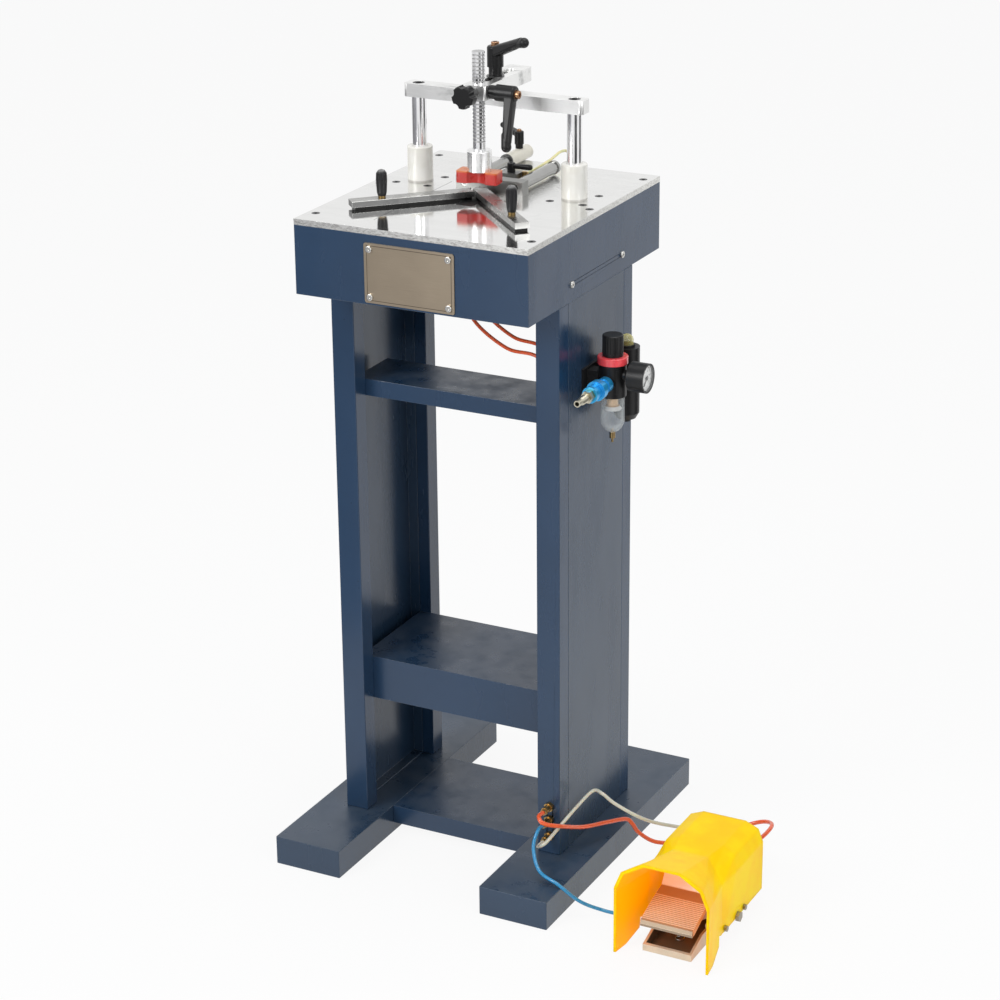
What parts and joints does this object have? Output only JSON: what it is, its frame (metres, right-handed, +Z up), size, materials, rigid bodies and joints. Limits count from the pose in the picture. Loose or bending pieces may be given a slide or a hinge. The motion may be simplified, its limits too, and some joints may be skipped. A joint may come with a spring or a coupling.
{
  "type": "picture frame underpinner",
  "caption": "Pneumatic V-nail press on a floor stand, with a swinging mitre fence, a clamp arm on guided rods, an air unit and a guarded foot valve.",
  "frame": {"origin": "on the floor, under the middle of the footprint of the stand and the foot valve together", "axes": "+X to the operator's right, +Y away from the operator, +Z up"},
  "size_m": [0.664, 0.49, 1.15],
  "materials": {
    "frame_paint": "gloss navy enamel",
    "side_paint": "gloss navy enamel",
    "table_steel": "ground and polished",
    "black_screw": "black oxide",
    "plate_tan": "satin anodised",
    "ivory": "satin",
    "chrome": "polished",
    "satin_alloy": "satin",
    "black_plastic": "fine texture",
    "red_pad": "translucent cast polyurethane",
    "ground_steel": "ground",
    "beige_sleeve": "satin",
    "rail_steel": "milled",
    "nail_steel": "plated",
    "insert_black": "hardened, blackened",
    "red_ring": "gloss",
    "clear_bowl": "clear polycarbonate",
    "filter_tan": "sintered",
    "brass": "plain",
    "yellow_dome": "clear, tinted by oil",
    "gauge_black": "gloss",
    "needle_white": "matt",
    "valve_blue": "blue anodised",
    "tube_orange": "polyurethane tube",
    "tube_blue": "polyurethane tube",
    "tube_clear": "polyurethane tube",
    "cast_bronze": "bronze paint on a casting",
    "hood_yellow": "gloss moulding",
    "treadle_bronze": "bronze paint on a casting",
    "valve_alloy": "champagne anodised",
    "steel_pin": "plated"
  },
  "bodies": {
    "stand": {"feet": "side_paint", "stand_posts": "frame_paint", "side_panels": "side_paint", "shelves": "frame_paint", "housing": "frame_paint", "table_plate": "table_steel", "screws": "black_screw", "nameplate": "plate_tan", "post_collars": "ivory", "clamp_cylinders": "satin_alloy", "fence_pin": "ground_steel", "guide_block": "ground_steel", "guide_rods": "chrome", "nail_rails": "rail_steel", "nail_strip": "nail_steel", "drive_cylinder": "satin_alloy", "driver_insert": "insert_black", "air_bracket": "black_plastic", "regulator_body": "black_plastic", "regulator_ring": "red_ring", "filter_bowl": "clear_bowl", "filter_element": "filter_tan", "lubricator_body": "black_plastic", "sight_dome": "yellow_dome", "gauge_body": "gauge_black", "slide_valve_body": "valve_blue", "fittings": "brass", "tube_orange": "tube_orange", "tube_blue": "tube_blue", "tube_clear": "tube_clear", "tubes_thin": "tube_orange", "pedal_base": "cast_bronze", "pedal_guard": "hood_yellow", "pedal_fasteners": "steel_pin", "valve_body": "valve_alloy"},
    "press": {"press_rods": "chrome", "crossbar": "satin_alloy", "crossbar_screws": "black_screw"},
    "arm": {"slide_arm": "satin_alloy"},
    "top_lever": {"arm_lever": "black_plastic"},
    "side_lever": {"column_lever": "black_plastic"},
    "star": {"star_knob": "black_plastic"},
    "column": {"clamp_column": "chrome", "pad_foot": "chrome", "pressure_pad": "red_pad"},
    "left_fence": {"fence_left": "ground_steel", "grip_left": "black_plastic"},
    "right_fence": {"fence_right": "ground_steel", "grip_right": "black_plastic"},
    "sleeve": {"stop_sleeve": "beige_sleeve"},
    "sleeve_handle": {"sleeve_lever": "black_plastic"},
    "pusher": {"nail_pusher": "rail_steel"},
    "pusher_handle": {"pusher_lever": "black_plastic"},
    "driver": {"nail_driver": "rail_steel"},
    "knob": {"regulator_knob": "black_plastic"},
    "drain": {"bowl_drain": "brass"},
    "needle": {"gauge_needle": "needle_white"},
    "slide_sleeve": {"slide_valve_sleeve": "valve_blue"},
    "foot_lever": {"treadle": "treadle_bronze"},
    "spool": {"valve_spool": "steel_pin"}
  },
  "joints": [
    {"name": "press_slide", "type": "slide", "parent": "stand", "child": "press", "axis": [0, 0, 1], "range_m": [-0.004, 0.036]},
    {"name": "arm_slide", "type": "slide", "parent": "press", "child": "arm", "axis": [0, 1, 0], "range_m": [-0.045, 0.01]},
    {"name": "arm_lever_turn", "type": "hinge", "parent": "press", "child": "top_lever", "pos_m": [-0.12, 0.049, 1.0872], "axis": [0, 0, 1], "range_deg": [-12, 90]},
    {"name": "column_lever_turn", "type": "hinge", "parent": "arm", "child": "side_lever", "pos_m": [-0.1029, 0.001, 1.0776], "axis": [1, 0, 0], "range_deg": [-60, 35]},
    {"name": "star_knob_turn", "type": "hinge", "parent": "arm", "child": "star", "pos_m": [-0.12, -0.0131, 1.0776], "axis": [0, 1, 0], "range_deg": [-180, 180]},
    {"name": "column_slide", "type": "slide", "parent": "arm", "child": "column", "axis": [0, 0, 1], "range_m": [-0.004, 0.036]},
    {"name": "fence_left_swing", "type": "hinge", "parent": "stand", "child": "left_fence", "pos_m": [-0.12, 0.002, 0.9417], "axis": [0, 0, 1], "range_deg": [-22.5, 0]},
    {"name": "fence_right_swing", "type": "hinge", "parent": "stand", "child": "right_fence", "pos_m": [-0.12, 0.002, 0.9417], "axis": [0, 0, 1], "range_deg": [0, 22.5]},
    {"name": "sleeve_slide", "type": "slide", "parent": "stand", "child": "sleeve", "axis": [0, 1, 0], "range_m": [-0.06, 0]},
    {"name": "sleeve_lever_turn", "type": "hinge", "parent": "sleeve", "child": "sleeve_handle", "pos_m": [-0.157, 0.19, 0.9545], "axis": [0, 0, 1], "range_deg": [-60, 60]},
    {"name": "pusher_slide", "type": "slide", "parent": "stand", "child": "pusher", "axis": [0, 1, 0], "range_m": [0, 0.025]},
    {"name": "pusher_lever_turn", "type": "hinge", "parent": "pusher", "child": "pusher_handle", "pos_m": [-0.12, 0.093, 0.9471], "axis": [0, 0, 1], "range_deg": [-30, 30]},
    {"name": "driver_slide", "type": "slide", "parent": "stand", "child": "driver", "axis": [0, 0, 1], "range_m": [0, 0.0196]},
    {"name": "regulator_knob_turn", "type": "hinge", "parent": "stand", "child": "knob", "pos_m": [0.085, -0.019, 0.7491], "axis": [0, 0, 1], "range_deg": [-180, 180]},
    {"name": "drain_turn", "type": "hinge", "parent": "stand", "child": "drain", "pos_m": [0.085, -0.019, 0.64], "axis": [0, 0, 1], "range_deg": [0, 180]},
    {"name": "needle_turn", "type": "hinge", "parent": "stand", "child": "needle", "pos_m": [0.133, -0.019, 0.724], "axis": [-1, 0, 0], "range_deg": [0, 270]},
    {"name": "slide_valve", "type": "slide", "parent": "stand", "child": "slide_sleeve", "axis": [0, 1, 0], "range_m": [-0.009, 0.009]},
    {"name": "treadle_hinge", "type": "hinge", "parent": "stand", "child": "foot_lever", "pos_m": [0.264, -0.121, 0.022], "axis": [1, 0, 0], "range_deg": [0, 7], "stiffness_Nm_per_rad": 1.2, "springref_deg": -17.19},
    {"name": "spool_slide", "type": "slide", "parent": "stand", "child": "spool", "axis": [0, -1, 0], "range_m": [0, 0.0031]}
  ],
  "couplings": [
    {"joint": "spool_slide", "follows": "treadle_hinge", "m_per_rad": 0.025}
  ]
}
